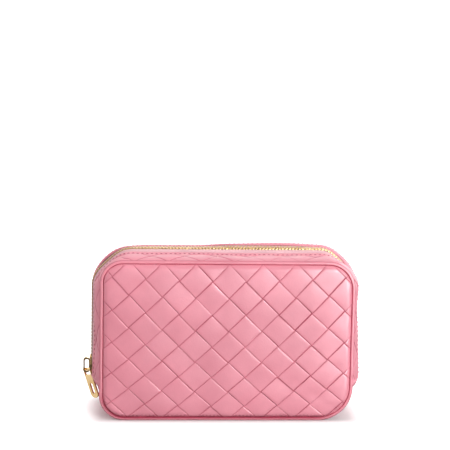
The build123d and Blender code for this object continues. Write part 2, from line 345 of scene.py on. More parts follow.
def relaxed(points):
    """How the bag has settled. Its top rises behind the zip, most in the middle and right. The top corners
    are soft. The gusset bellies out low on the right, where the zip sinks, and high on the left, where
    the zip stays level for the slider."""
    x, y, z = points[:, 0], points[:, 1], points[:, 2]
    moved = np.array(points, float)
    near_zip = np.exp(-((y / 6.5) ** 2))
    between_seams = np.clip(1 - (y / SEAM_Y) ** 2, 0, 1)
    rise = 3.6 * smooth_step(-9, 10, y) - 0.9 * smooth_step(-30, -9, y) - 1.0 * smooth_step(10, 19, y)
    share = 0.45 + 0.55 * smooth_step(-24, 6, x) * smooth_step(76, 44, x)
    share = share - 0.4 * smooth_step(-58, -80, x)
    moved[:, 2] += rise * share * smooth_step(94, 121, z)
    to_x, to_z = np.maximum(np.abs(x) - 70, 0), np.maximum(z - 96, 0)
    turn = np.arctan2(to_z, to_x + 1e-9)
    soft = 2.6 * smooth_step(-30, -4, y) + np.where(x > 0, 3.0, 1.3) * near_zip
    soft = soft - 1.3 * (x < 0) * smooth_step(4, 8, y) * smooth_step(26, 15, y)
    soft = soft * np.sin(2 * turn) ** 2 * smooth_step(10, 24, np.hypot(to_x, to_z))
    moved[:, 0] -= np.sign(x) * soft * np.cos(turn)
    moved[:, 2] -= soft * np.sin(turn)
    belly = 1.7 * smooth_step(17, 27, z) * smooth_step(88, 58, z) * between_seams
    sunk = 2.0 * near_zip * smooth_step(24, 40, z) * smooth_step(122, 112, z)
    moved[:, 0] += belly * smooth_step(60, 85, x) - sunk * smooth_step(88, 99, x)
    upper = smooth_step(60, 74, z) * smooth_step(112, 98, z)
    pouch = 1.7 * between_seams * smooth_step(6.5, 15, np.abs(y))
    moved[:, 0] -= upper * pouch * smooth_step(-88, -97, x)
    return moved


def ripple(p, q, size, seed):
    """A smooth random field between about -1 and 1, with features of about that size."""
    waves = 6
    draw = np.random.default_rng(seed)
    total = np.zeros(np.broadcast(p, q).shape)
    for _ in range(waves):
        angle = draw.uniform(0, 2 * math.pi)
        length = size * draw.uniform(0.7, 1.7)
        phase = draw.uniform(0, 2 * math.pi)
        across = p * math.cos(angle) + q * math.sin(angle)
        total = total + np.sin(across * 2 * math.pi / length + phase)
    return total / waves * 1.6


def smooth_step(low, high, value):
    t = np.clip((value - low) / (high - low), 0, 1)
    return t * t * (3 - 2 * t)


# ---------------- charts: flat coordinates to the bag


def corner_radius(x, z):
    """The seam's corner radius: tighter at the front's top left, slacker at its bottom right."""
    upper = np.where(x < 0, TOP_LEFT, CORNER - SEAM_STEP)
    return np.where(z > SEAM_TOP / 2, upper, np.where(x < 0, BASE_LEFT, BASE_RIGHT) - SEAM_STEP)


def seam_distance(x, z, inset):
    """Distance outside the front's outline, drawn in by inset, and the unit vector that leads out."""
    half_x, half_z = SEAM_X - inset, SEAM_HALF_Z - inset
    radius = corner_radius(x, z) - inset
    qx, qz = np.abs(x) - half_x + radius, np.abs(z - SEAM_MIDDLE) - half_z + radius
    corner = np.hypot(np.maximum(qx, 0), np.maximum(qz, 0))
    distance = np.minimum(np.maximum(qx, qz), 0) + corner - radius
    in_corner = (qx > 0) & (qz > 0)
    safe = np.maximum(corner, 1e-9)
    nx = np.where(in_corner, qx / safe, qx >= qz) * np.sign(x)
    nz = np.where(in_corner, qz / safe, qx < qz) * np.sign(z - SEAM_MIDDLE)
    return distance, nx, nz


def panel_chart(x, z, lift):
    """A point on the front face: held down along the seam, rounded over, and swollen by the padding."""
    distance, nx, nz = seam_distance(x, z, PANEL_INSET)
    outside = np.maximum(distance, 0)
    x, z = x - outside * nx, z - outside * nz
    inside = np.maximum(-distance, 0)
    share = np.clip(inside / FACE_ROUND, 0, 1)
    rise = np.sqrt(1 - (1 - share) ** 2)
    stand = FACE_FOOT + (PANEL_FACE - SEAM_Y - FACE_FOOT) * rise + swell_at(x, z) * rise
    stand = stand + np.where(lift > 0, lift * np.clip(0.25 + inside / 1.5, 0, 1), lift)
    return np.stack([x, -(SEAM_Y + stand), z], -1)


def zip_sections():
    """Lengths of the zip's path: one side, one turn and the top."""
    radius = CORNER + CROWN_RADIUS
    side = GUSSET_TOP + TOP_CROWN - radius - ZIP_END
    return side, radius * math.pi / 2, 2 * (GUSSET_X + SIDE_CROWN - radius)


def zip_length():
    side, turn, top = zip_sections()
    return 2 * side + 2 * turn + top


def strip_chart(length, depth, lift, dip, full):
    """A point on the front zip strip: length runs along the zip from its left end, and depth is from the
    zip's middle. The hem sinks by dip under the zip's level, and the strip stands up by full beside it."""
    side, turn, top = zip_sections()
    along = np.clip((EDGE_Y - depth) / (EDGE_Y - HEM_Y), -0.2, 1)
    arch = 4 * along * np.clip(1 - along, 0, 1)
    out = lift + arch * (SAG + 0.25 * ripple(length, depth * 2.0, 45, 3))
    out = out + full * np.sin(math.pi * np.clip(along, 0, 1) ** 1.7)
    ends = smooth_step(0, 30, np.minimum(length, zip_length() - length))
    out = out - dip * (0.25 + 0.75 * ends) * smooth_step(25, 9, depth) * smooth_step(4.9, 6.0, depth)
    half = GUSSET_X + SIDE_CROWN * along + out
    high = GUSSET_TOP + TOP_CROWN * along + out
    tight = np.where(length < side + turn, 4.0, 0.0) * (1 - np.clip(along * 1.6, 0, 1))
    radius = CORNER - tight + CROWN_RADIUS * along + out
    up = np.clip(length / side, 0, 1)
    first = np.clip((length - side) / turn, 0, 1) * math.pi / 2
    across = np.clip((length - side - turn) / top, 0, 1)
    second = np.clip((length - side - turn - top) / turn, 0, 1) * math.pi / 2
    down = np.clip((length - side - 2 * turn - top) / side, 0, 1)
    tall = high - radius - ZIP_END
    x = -half + radius * (1 - np.cos(first)) + across * 2 * (half - radius) + radius * np.sin(second)
    z = ZIP_END + up * tall + radius * np.sin(first) - radius * (1 - np.cos(second)) - down * tall
    return np.stack([x, -depth + 0 * x, z], -1)


def front_strip(length, depth, lift):
    """The front strip stands up most at the right top corner, and half as much below it."""
    full = 1.7 * smooth_step(265, 290, length) * (1 - 0.5 * smooth_step(298, 322, length))
    return strip_chart(length, depth, lift, 1.5, full)


def back_strip(length, depth, lift):
    """The back strip stands up over the right half."""
    return strip_chart(length, depth, lift, 0.1, 1.2 * smooth_step(170, 250, length))


def base_sections():
    """Lengths of the lower gusset's path: the left side and turn, the base, the right turn and side."""
    left, right = BASE_LEFT, BASE_RIGHT
    base = 2 * GUSSET_X - left - right
    return ZIP_END - left, left * math.pi / 2, base, right * math.pi / 2, ZIP_END - right


def base_length():
    return sum(base_sections())


def base_chart(length, y, lift):
    """A point on the lower gusset: length runs from the zip's left end, down, under the bag and up."""
    side, turn, base, last_turn, _ = base_sections()
    whole = base_length()
    from_end = np.minimum(length, whole - length)
    swell = (SIDE_CROWN + 0.5) * smooth_step(13.0, -1.5, from_end)
    bow = np.clip(1 - (np.abs(y) / EDGE_Y) ** 2, 0, 1)
    out = lift + swell * bow + 0.3 * smooth_step(40, 6, from_end) * bow * ripple(length, y, 30, 5)
    first = np.clip((length - side) / turn, 0, 1) * math.pi / 2
    across = np.clip((length - side - turn) / base, 0, 1)
    last_start = side + turn + base
    second = np.clip((length - last_start) / last_turn, 0, 1) * math.pi / 2
    up = np.maximum(length - last_start - last_turn, 0)
    radius = BASE_LEFT + (BASE_RIGHT - BASE_LEFT) * across
    centre_x = -GUSSET_X + BASE_LEFT + across * base
    angle = first + second
    x = centre_x - (radius + out) * np.cos(angle)
    z = radius - (radius + out) * np.sin(angle) + np.maximum(side - length, 0) + up
    return np.stack([x, y + 0 * x, z], -1)


# ---------------- the weave

# A strip's surface where it lies on top, as shares of its half width and of RELIEF: across it, where its
# sides turn down, and along it, where its ends dive under the next strips.
SIDE = [1, 1, 0.99, 0.97, 0.935, 0.7, 0.47, 0.23]
SIDE_HEIGHT = [-0.6, 0.35, 0.74, 0.93, 1, 1, 1, 1]
ACROSS = np.array([-d for d in SIDE] + [0] + SIDE[::-1]) / 2
ACROSS_HEIGHT = np.array(SIDE_HEIGHT + [1] + SIDE_HEIGHT[::-1])
DIVE = [1.08, 1.0, 0.98, 0.955, 0.92, 0.86, 0.65, 0.42, 0.2]
DIVE_HEIGHT = [-0.45, -0.1, 0.2, 0.55, 0.82, 0.97, 1, 1, 1]
ALONG = np.array([-d for d in DIVE] + [0] + DIVE[::-1]) / 2
ALONG_HEIGHT = np.array(DIVE_HEIGHT + [1] + DIVE_HEIGHT[::-1])


def woven(chart, plane, span, inside, seed, painted_panel_shade=False):
    """Strips in plain weave, laid on a chart. plane maps weave coordinates to the chart's own, span is
    the lowest and highest column and row, and inside(p, q) says how far a point is inside the piece.
    With its last flag set, the painted shade in the grooves darkens to the right, and painted shade
    falls along the seam under the face's foot. Returns points, quads and each point's share of that shade."""
    draw = np.random.default_rng(seed)
    cells = [
        (i, j)
        for i in range(span[0], span[1] + 1)
        for j in range(span[2], span[3] + 1)
        if (i + j) % 2 == 0
    ]
    i, j = (np.array(c)[:, None, None] for c in zip(*cells))
    a, b = (i + j) / 2, (j - i) / 2
    falling = i % 2 == 0  # the strip that runs down to the right lies on top
    s, t = ACROSS[None, :, None], ALONG[None, None, :]
    count = len(cells)
    s = s * (1 - 0.02 * draw.random((count, 1, 1)))
    a, b = a + np.where(falling, s, t), b + np.where(falling, t, s)
    p, q = plane(a - b, a + b)
    height = np.minimum(ACROSS_HEIGHT[None, :, None], ALONG_HEIGHT[None, None, :])
    height = np.broadcast_to(height, p.shape)
    pillow = 0.16 * np.cos(math.pi * s) * np.cos(math.pi * np.clip(t, -0.5, 0.5))
    tilt = draw.normal(0, 0.14, (count, 2))
    uneven = tilt[:, :1, None] * s * 2 + tilt[:, 1:, None] * t * 2
    lift = RELIEF * height + pillow + uneven * np.clip(height, 0, 1)
    points = chart(p, q, lift).reshape(-1, 3)
    outward = chart(p, q, lift + 0.5).reshape(-1, 3) - points
    per_cell = len(ACROSS) * len(ALONG)
    quads = np.concatenate([grid_faces(len(ACROSS), len(ALONG), k * per_cell) for k in range(count)])
    kept = (inside(p, q).ravel()[quads] > 0).any(1)
    # Painted shade in the grooves: strongest at the ends whose covering edge faces away from the key
    # light, lighter at the others, varied per cell at random.
    far_end = t > 0
    right_shade = smooth_step(25, 88, p) if painted_panel_shade else 0.0
    strength = np.where(falling, np.where(far_end, 0.55, 0.6 + 0.9 * right_shade), np.where(far_end, 1.0, 0.55))
    strength = strength * draw.uniform(0.45, 1.15, (count, 1, 1))
    groove_shade = np.clip(1.3 * (1 - height), 0, 1) * strength * np.clip(inside(p, q) / 2.0, 0.3, 1)
    if painted_panel_shade:
        groove_shade = np.maximum(groove_shade, under_the_face(p, q) * smooth_step(1.9, 0.5, inside(p, q)))
    return points, facing(points, quads[kept], outward), np.broadcast_to(groove_shade, p.shape).ravel()


def laid(chart, p, q, lift, groove_shade=0.0):
    """A plain sheet on a chart, from the chart coordinates of its rows and columns."""
    p, q = np.meshgrid(p, q, indexing="ij")
    points = chart(p, q, lift + 0 * p).reshape(-1, 3)
    outward = chart(p, q, lift + 0.5 + 0 * p).reshape(-1, 3) - points
    quads = facing(points, grid_faces(*p.shape), outward)
    return points, quads, np.full(len(points), groove_shade)


def ribbon(chart, lengths, profile, closed=True):
    """A band with a section: profile is (depth, lift) pairs, swept along the chart's lengths."""
    depth, lift = np.array(profile).T
    p, q = np.meshgrid(lengths, depth, indexing="ij")
    points = chart(p, q, lift[None, :] + 0 * p).reshape(-1, 3)
    quads = grid_faces(*p.shape, closed_columns=closed)
    return points, quads, np.zeros(len(points))


def stitches(chart, start, end, depth, level, radius=0.3, lengthwise=True):
    """Rows of thread, each a short capsule that dips into the leather at both ends."""
    count = int((end - start) / STITCH_PITCH)
    turns, rings = 8, 7
    along = np.linspace(-1, 1, rings)
    angle = np.linspace(0, 2 * math.pi, turns, endpoint=False)
    shape = np.sqrt(np.clip(1 - along**4, 0.02, 1))
    points, quads = [], []
    for k in range(count):
        at = start + (k + 0.5) * STITCH_PITCH
        p = at + along[:, None] * STITCH_LENGTH / 2 + 0 * angle[None, :]
        q = depth + radius * shape[:, None] * np.cos(angle)[None, :]
        lift = level - 0.3 * (along**2)[:, None] + radius * shape[:, None] * np.sin(angle)[None, :]
        points.append((chart(p, q, lift) if lengthwise else chart(q, p, lift)).reshape(-1, 3))
        quads.append(grid_faces(rings, turns, k * rings * turns, closed_columns=True))
    return np.concatenate(points), np.concatenate(quads), np.zeros(count * rings * turns)


def joined(*parts):
    """Several (points, quads, groove) as one."""
    points, quads, groove_shade, start = [], [], [], 0
    for p, f, g in parts:
        points.append(p)
        quads.append(f + start)
        groove_shade.append(g)
        start += len(p)
    return np.concatenate(points), np.concatenate(quads), np.concatenate(groove_shade)


# ---------------- padding, by cloth simulation

PAD_COLUMNS, PAD_ROWS = 57, 37
PAD_INSET = 2.0  # from the seam to the pad's rim
PAD_X, PAD_Z = SEAM_X - PAD_INSET, SEAM_HALF_Z - PAD_INSET  # half the pad's width and height
PAD_CORNER = CORNER - 2.8
PAD_THICKNESS = 3.0
PAD_FRAMES = 20
PAD_SMOOTHINGS = 4
FULL = 1.4  # the swell stops here, where the panel's leather is taut


def rounding(x, z):
    """How much nearer the pad's rounded outline is than its rectangle, along the ray from its middle."""
    x, z = np.abs(x) + 1e-9, np.abs(z) + 1e-9
    reach = 1 / np.maximum(x / PAD_X, z / PAD_Z)
    hit_x, hit_z = x * reach, z * reach
    cx, cz = PAD_X - PAD_CORNER, PAD_Z - PAD_CORNER
    size = np.hypot(x, z)
    ux, uz = x / size, z / size
    dot = ux * cx + uz * cz
    to_arc = dot + np.sqrt(np.maximum(dot**2 - (cx**2 + cz**2 - PAD_CORNER**2), 0))
    in_corner = (hit_x > cx) & (hit_z > cz)
    return np.where(in_corner, to_arc / (reach * size), 1.0)


def pad_grid():
    """The pad's outline as a grid, in the face's plane, from its middle."""
    columns, rows = np.linspace(-PAD_X, PAD_X, PAD_COLUMNS), np.linspace(-PAD_Z, PAD_Z, PAD_ROWS)
    x, z = np.meshgrid(columns, rows, indexing="ij")
    factor = rounding(x, z)
    return x * factor, z * factor


def simulate_swell():
    """Swells a thin pad, held at its rim and back, with cloth pressure. Returns its rise at each point."""
    x, z = pad_grid()
    rim = np.zeros(x.shape, bool)
    rim[[0, -1], :] = True
    rim[:, [0, -1]] = True
    front = np.stack([x, 0 * x, z], -1).reshape(-1, 3)
    back = np.stack([x, 0 * x + PAD_THICKNESS, z], -1).reshape(-1, 3)
    top = grid_faces(*x.shape)[:, ::-1]
    bottom = grid_faces(*x.shape)
    count = len(front)
    shared = np.where(rim.ravel(), np.arange(count), np.arange(count) + count)
    points = np.concatenate([front, back]) * MM
    mesh = bpy.data.meshes.new("pad_trial")
    mesh.from_pydata(points.tolist(), [], top.tolist() + shared[bottom].tolist())
    pad = new_object("pad_trial", mesh)
    held = pad.vertex_groups.new(name="held")
    held.add([int(k) for k in np.flatnonzero(rim.ravel())], 1.0, "REPLACE")
    held.add([int(k) + count for k in range(count)], 1.0, "REPLACE")
    modifier = pad.modifiers.new("cloth", "CLOTH")
    settings = modifier.settings
    settings.quality = 6
    settings.vertex_group_mass = "held"
    settings.use_pressure = True
    settings.uniform_pressure_force = 4.0
    settings.shrink_min = -0.012
    settings.effector_weights.gravity = 0.0
    modifier.point_cache.frame_start, modifier.point_cache.frame_end = 1, PAD_FRAMES
    scene = bpy.context.scene
    for number in range(1, PAD_FRAMES + 1):
        scene.frame_set(number)
    evaluated = pad.evaluated_get(bpy.context.evaluated_depsgraph_get())
    found = np.array([v.co for v in evaluated.data.vertices])[:count]
    scene.frame_set(1)
    bpy.data.objects.remove(pad)
    rise = ((points[:count, 1] - found[:, 1]) / MM).reshape(x.shape)
    for _ in range(PAD_SMOOTHINGS):  # the leather over the pad bridges its finest creases
        rise[1:-1, 1:-1] = (rise[:-2, 1:-1] + rise[2:, 1:-1] + rise[1:-1, :-2] + rise[1:-1, 2:]) / 4
    return rise


pad_rise = simulate_swell()


def swell_at(x, z):
    """The pad's rise under a point of the front, in millimetres, with faint dents."""
    z_mid = z - SEAM_MIDDLE
    factor = rounding(x, z_mid)
    p = np.clip((x / factor / PAD_X + 1) / 2 * (PAD_COLUMNS - 1), 0, PAD_COLUMNS - 1.001)
    q = np.clip((z_mid / factor / PAD_Z + 1) / 2 * (PAD_ROWS - 1), 0, PAD_ROWS - 1.001)
    i, j = p.astype(int), q.astype(int)
    fp, fq = p - i, q - j
    rise = (
        pad_rise[i, j] * (1 - fp) * (1 - fq)
        + pad_rise[i + 1, j] * fp * (1 - fq)
        + pad_rise[i, j + 1] * (1 - fp) * fq
        + pad_rise[i + 1, j + 1] * fp * fq
    )
    dents = 0.16 * ripple(x, z, 62, 11) + 0.08 * ripple(x, z, 28, 12)
    return FULL * np.tanh(rise / 3.0) + dents


# ---------------- building both halves


def front_of(piece):
    """Bakes a front piece's placement into its mesh, where it stays."""
    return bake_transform(piece)


def settle(piece, side, slot, *nodes):
    """Puts a back piece on the back shell's body or bakes a front piece in place, and hides the CAD nodes
    that it stands for.
    """
    front_of(piece) if side == "front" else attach(piece, "back_shell")
    if nodes:
        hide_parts(*nodes)
    return piece


def half_piece(name, side, parts, material, slot, stands_for=True):
    """A piece of the front half, or its mirror on the back half."""
    points, quads, groove_shade = parts
    if side == "back":
        points, quads = to_back(points), quads[:, ::-1]
    full_name = f"{side}_{name}"
    piece = make_piece(full_name + ("_made" if stands_for else ""), points, quads, material, groove_shade)
    return settle(piece, side, slot, *([full_name] if stands_for else []))


def panel_plane(u, v):
    """The weave's crossings on a panel: rows open a little towards the top and bow up at the sides."""
    return 0.6 + PITCH_X * u, 11.5 + PITCH_Z * v + 0.13 * np.maximum(v, 0) ** 2 + 0.07 * u**2


def panel_parts(side):
    """A panel's woven face over a backing that takes the painted shade of the grooves in full."""
    seed = 21 if side == "front" else 22

    def inside(x, z):
        return 0.3 - seam_distance(x, z, PANEL_INSET)[0]

    weave = woven(panel_chart, panel_plane, (-9, 9, -2, 10), inside, seed, painted_panel_shade=True)
    x = np.linspace(-SEAM_X, SEAM_X, 90)
    z = np.linspace(PIPE, SEAM_TOP, 60)
    return joined(weave, laid(panel_chart, x, z, -1.0, 1.0))


STRAIGHT_POINTS = 44  # along each straight run of the seam


def seam_route():
    """The front seam as a closed route in (x, z), with its outward directions."""
    points, outs = [], []
    for sx, sz, first in ((-1, 1, 180), (1, 1, 90), (1, -1, 0), (-1, -1, -90)):
        radius = float(corner_radius(np.array(sx * 1.0), np.array(SEAM_MIDDLE + sz)))
        centre = np.array([sx * (SEAM_X - radius), SEAM_MIDDLE + sz * (SEAM_HALF_Z - radius)])
        angle = np.radians(np.linspace(first, first - 90, 17))
        out = np.stack([np.cos(angle), np.sin(angle)], 1)
        points.append(centre + radius * out)
        outs.append(out)
    route, ways = [], []
    for k in range(4):
        route.append(points[k])
        ways.append(outs[k])
        start, end = points[k][-1], points[(k + 1) % 4][0]
        share = np.linspace(0, 1, STRAIGHT_POINTS)[1:-1, None]
        route.append(start + (end - start) * share)
        ways.append(np.repeat(outs[k][-1:], STRAIGHT_POINTS - 2, 0))
    return np.concatenate(route), np.concatenate(ways)


def under_the_face(x, z):
    """Where the face's foot overhangs the seam and puts it in the shade."""
    return smooth_step(26, 10, z) * smooth_step(-99, -92, x) * smooth_step(84, 66, x)


TUBE_SIDES = 24


def tube(section, wobble=0.0, seed=0):
    """A closed tube along the front seam; section gives the radius at a way along and an angle."""
    route, ways = seam_route()
    step = np.linalg.norm(np.roll(route, -1, 0) - route, axis=1)
    along = np.concatenate([[0], np.cumsum(step)[:-1]])
    angle = np.linspace(0, 2 * math.pi, TUBE_SIDES, endpoint=False)[None, :]
    radius = section(along[:, None], angle)
    shift = wobble * ripple(along, 0 * along, 30, seed)[:, None]
    out = radius * np.cos(angle) + shift
    x = route[:, :1] + ways[:, :1] * out
    z = route[:, 1:] + ways[:, 1:] * out
    y = -SEAM_Y - radius * np.sin(angle)
    points = np.stack([x, y, z], -1).reshape(-1, 3)
    quads = grid_faces(len(route), TUBE_SIDES, closed_rows=True, closed_columns=True)[:, ::-1]
    # Painted shade in the creases on both sides of the piping, and under the face's foot near the bottom.
    facing_out = np.cos(angle)
    groove_shade = smooth_step(-0.3, -0.72, facing_out) + 0.5 * smooth_step(0.6, 0.97, facing_out)
    shade = under_the_face(route[:, :1], route[:, 1:]) * smooth_step(0.3, -0.35, facing_out)
    groove_shade = np.maximum(groove_shade, shade)
    return points, quads, np.broadcast_to(groove_shade, radius.shape).ravel()


def piping_section(along, angle):
    """Round, drawn in a little where the seam's stitches pull on it."""
    return PIPE - 0.06 + 0.03 * np.sin(along * 2 * math.pi / 3.4) * np.clip(-np.sin(angle), 0, 1)


def cord_section(along, angle):
    """Three strands twisted together."""
    return 0.86 + 0.12 * np.cos(3 * angle + along * 1.1)


def strip_parts(strip):
    """The woven strip beside the zip, with a smooth folded hem along the zip."""
    length = zip_length()

    def chart(p, q, lift):
        return strip(np.clip(p, 0, length), np.clip(q, WEAVE_START, STRIP_REACH), lift - 0.45)

    def plane(u, v):
        return length / 2 + 4.6 + PITCH_X * u, 17.5 + PITCH_Z * v

    def inside(p, q):
        along = np.minimum(p, length - p) + 0.5
        return np.minimum(along, np.minimum(q - WEAVE_START, STRIP_REACH - q) + 0.2)

    weave = woven(chart, plane, (-17, 17, -2, 2), inside, 31)
    lengths = np.linspace(0, length, 260)
    # The backing under the weave takes the painted shade of the grooves in full.
    backing = laid(chart, lengths, np.linspace(WEAVE_START, STRIP_REACH, 9), -0.9, 1.0)
    hem = [(HEM_Y + 0.9, -1.1), (HEM_Y + 0.2, -0.9), (HEM_Y - 0.05, -0.45), (HEM_Y + 0.1, 0.0)]
    hem += [(HEM_Y + 0.6, 0.24), (HEM_Y + 1.4, 0.3), (10.1, 0.2), (10.6, 0.08)]
    hem += [(HEM_SEAM, 0.02), (11.4, 0.1), (12.0, 0.12), (12.4, -0.05), (12.5, -0.6)]
    points, quads, groove_shade = ribbon(strip, lengths, hem, closed=False)
    up = strip(*np.meshgrid(lengths, [d for d, _ in hem], indexing="ij"), 3.0).reshape(-1, 3) - points
    return joined(weave, backing, (points, facing(points, quads, up), groove_shade))


def tape_parts(strip):
    """The zip's tape, from under the hem to the thick edge that carries the teeth."""
    level = ZIP_LEVEL - SIDE_CROWN
    profile = [(13.0, -1.3), (HEM_Y, -1.3), (4.9, level + 0.22), (2.9, level + 0.2), (1.9, level + 0.28)]
    profile += [(1.75, level), (1.9, level - 0.28), (2.9, level - 0.2), (4.9, level - 0.25)]
    profile += [(HEM_Y, -1.85), (13.0, -1.85)]
    return ribbon(strip, np.linspace(0, zip_length(), 260), profile)


def strip_lining_parts(strip):
    lengths = np.linspace(0, zip_length(), 160)
    profile = [(EDGE_Y + 1.0, -2.4), (24.0, -2.6), (18.0, -2.7), (12.0, -2.6), (8.2, -2.5)]
    return ribbon(strip, lengths, profile, closed=False)


def lining_parts():
    """The panel's lining, slack by a hair between its seams."""
    x = np.linspace(-SEAM_X, SEAM_X, 80)
    z = np.linspace(PIPE, SEAM_TOP, 52)

    def chart(x, z, lift):
        distance, nx, nz = seam_distance(x, z, 1.6)
        outside = np.maximum(distance, 0)
        slack = 0.25 * ripple(x, z, 34, 41) * smooth_step(0, 12, -distance)
        y = -(SEAM_Y - 0.75) + lift + slack
        return np.stack([x - outside * nx, y, z - outside * nz], -1)

    return laid(chart, x, z, 0.0)


def padding_parts():
    """The foam between leather and lining, with the simulated swell on its outer face."""
    x, z = pad_grid()
    full_x, full_z = x, z + SEAM_MIDDLE
    x, z = x * 0.985, z * 0.985 + SEAM_MIDDLE  # the pad is cut a little smaller than its place
    share = np.clip(-seam_distance(x, z, PAD_INSET)[0] / 4, 0, 1)
    rise = 0.3 + np.sqrt(1 - (1 - share) ** 2) + swell_at(full_x, full_z) * share * 0.9
    distance, nx, nz = seam_distance(x, z, 2.4)
    x, z = x - np.maximum(distance, 0) * nx, z - np.maximum(distance, 0) * nz
    front = np.stack([x, -(SEAM_Y - 0.2 + rise), z], -1).reshape(-1, 3)
    back = np.stack([x, 0 * x - (SEAM_Y - 0.2), z], -1).reshape(-1, 3)
    rows, columns = x.shape
    top = grid_faces(rows, columns)
    ring = [k * columns for k in range(rows)]
    ring += [(rows - 1) * columns + k for k in range(1, columns)]
    ring += [(rows - 1 - k) * columns + columns - 1 for k in range(1, rows)]
    ring += list(range(columns - 2, 0, -1))
    ring = np.array(ring)
    after = np.roll(ring, -1)
    count = len(front)
    wall = np.stack([ring, after, after + count, ring + count], 1)
    quads = np.concatenate([top, top[:, ::-1] + count, wall])
    return np.concatenate([front, back]), quads, np.zeros(2 * count)


for side, strip, stitch_level in (("front", front_strip, 0.16), ("back", back_strip, 0.04)):
    half_piece("panel", side, panel_parts(side), WOVEN, "woven_leather")
    half_piece("piping", side, tube(piping_section, 0.06, 51), SMOOTH, "piping_leather")
    half_piece("piping_cord", side, tube(cord_section), CORD, "core")
    half_piece("zip_strip", side, strip_parts(strip), WOVEN, "woven_leather")
    sewn = stitches(strip, 2, zip_length() - 2, HEM_SEAM, stitch_level, radius=0.31)
    half_piece("strip_stitching", side, sewn, THREAD, "woven_leather", stands_for=False)
    tape = half_piece("zip_tape", side, tape_parts(strip), TAPE, "zip_tape")
    lining = half_piece("lining", side, lining_parts(), LINING, "lining")
    strip_lining = half_piece("strip_lining", side, strip_lining_parts(strip), LINING, "lining")
    padding = half_piece("padding", side, padding_parts(), FOAM, "core")


# ---------------- lower gusset and base

END_HEM = [(-0.4, -1.3), (-0.5, -0.3), (-0.2, 0.25), (0.6, 0.42)]
END_HEM += [(2.4, 0.32), (3.4, 0.3), (3.9, 0.1), (4.0, -0.5)]
END_SEAM = 2.9  # how far the stitches are from the gusset's ends


def lower_parts():
    """The woven lower gusset over a backing that takes the painted shade of the grooves in full."""
    length = base_length()
    reach = EDGE_Y + 0.5

    def chart(p, q, lift):
        return base_chart(np.clip(p, 0.5, length - 0.5), np.clip(q, -reach, reach), lift - 0.75)

    def plane(u, v):
        return length / 2 + 3.0 + PITCH_X * u, 2.0 + PITCH_Z * v

    def inside(p, q):
        return np.minimum(np.minimum(p, length - p), reach - np.abs(q)) + 0.3

    weave = woven(chart, plane, (-11, 11, -4, 4), inside, 33)
    lengths, depths = np.linspace(0.5, length - 0.5, 150), np.linspace(-reach, reach, 30)
    return joined(weave, laid(chart, lengths, depths, -0.45, 1.0))


def end_hem_parts():
    """Smooth folded leather across both ends of the lower gusset, over the ends of the zip."""
    depths = np.linspace(-EDGE_Y - 0.4, EDGE_Y + 0.4, 60)
    whole = base_length()
    parts = []
    for flip in (False, True):

        def chart(p, q, lift):
            return base_chart(whole - q if flip else q, p, lift)

        points, quads, groove_shade = ribbon(chart, depths, END_HEM, closed=False)
        p, q = np.meshgrid(depths, [d for d, _ in END_HEM], indexing="ij")
        up = chart(p, q, 3.0).reshape(-1, 3) - points
        parts.append((points, facing(points, quads, up), groove_shade))
    return joined(*parts)


def base_stitches():
    """The two rows that close the hems at the lower gusset's ends."""
    rows = [
        stitches(base_chart, -EDGE_Y + 1.5, EDGE_Y - 1.5, at, 0.34, lengthwise=False)
        for at in (END_SEAM, base_length() - END_SEAM)
    ]
    return joined(*rows)


def lower_lining_parts():
    lengths = np.linspace(0, base_length(), 130)
    depths = np.linspace(-EDGE_Y - 0.9, EDGE_Y + 0.9, 26)
    return laid(base_chart, lengths, depths, -3.0)


def lone_piece(name, side, parts, material, slot, *nodes):
    """A piece with no twin. A front piece is baked in place, a back piece goes on the back shell's body.
    """
    points, quads, groove_shade = parts
    return settle(make_piece(name, points, quads, material, groove_shade), side, slot, *nodes)


lone_piece("lower_gusset_made", "front", lower_parts(), WOVEN, "woven_leather", "lower_gusset")
lone_piece("lower_gusset_hems", "front", end_hem_parts(), SMOOTH, "woven_leather")
lone_piece("lower_gusset_stitching", "front", base_stitches(), THREAD, "woven_leather")
base_lining = lone_piece(
    "lower_gusset_lining_made", "front", lower_lining_parts(), LINING, "lining", "lower_gusset_lining"
)


# ---------------- slip pocket inside the back

pocket_low, pocket_high = cad("slip_pocket")
binding_low, binding_high = cad("pocket_binding")


def pocket_chart(x, z, lift):
    """The pocket's cloth, sewn at its sides and foot and a little full at its mouth."""
    across = np.clip((x - pocket_low.x) / (pocket_high.x - pocket_low.x), 0, 1)
    up = np.clip((z - pocket_low.z) / (pocket_high.z - pocket_low.z), 0, 1)
    full = 1.1 * np.sin(math.pi * across) ** 0.7 * up**1.5
    return np.stack([x, pocket_low.y + 0.25 - full - lift, z], -1)


def pocket_parts():
    """The pocket's cloth, up to just under its binding's top edge."""
    x = np.linspace(pocket_low.x, pocket_high.x, 60)
    z = np.linspace(pocket_low.z, pocket_high.z - 1.0, 30)
    return laid(pocket_chart, x, z, 0.0)


def binding_parts():
    """The strip that edges the pocket's mouth."""
    x = np.linspace(binding_low.x, binding_high.x, 60)
    top, low = binding_high.z, binding_low.z
    profile = [(low, 0.1), (low + 0.2, 0.35), (low + 1.2, 0.42), (top - 0.8, 0.5)]
    profile += [(top - 0.2, 0.3), (top, -0.05), (top - 0.3, -0.3), (low, -0.25)]
    return ribbon(pocket_chart, x, profile)


pocket = lone_piece("slip_pocket_made", "back", pocket_parts(), LINING, "lining", "slip_pocket")
lone_piece("pocket_binding_made", "back", binding_parts(), SMOOTH, "piping_leather", "pocket_binding")
pocket_rows = [
    stitches(pocket_chart, pocket_low.x + 2, pocket_high.x - 2, height, level, radius=0.25)
    for height, level in ((binding_low.z + 1.6, 0.45), (pocket_low.z + 1.2, 0.1))
]
lone_piece("pocket_stitching", "back", joined(*pocket_rows), THREAD, "lining")


# ---------------- metal and board


def plate(node, material):
    """Gives a CAD node that stays its material."""
    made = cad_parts[node]
    for k in range(len(made.material_slots)):
        made.material_slots[k].material = material


PULL_TURN = 32.0  # degrees


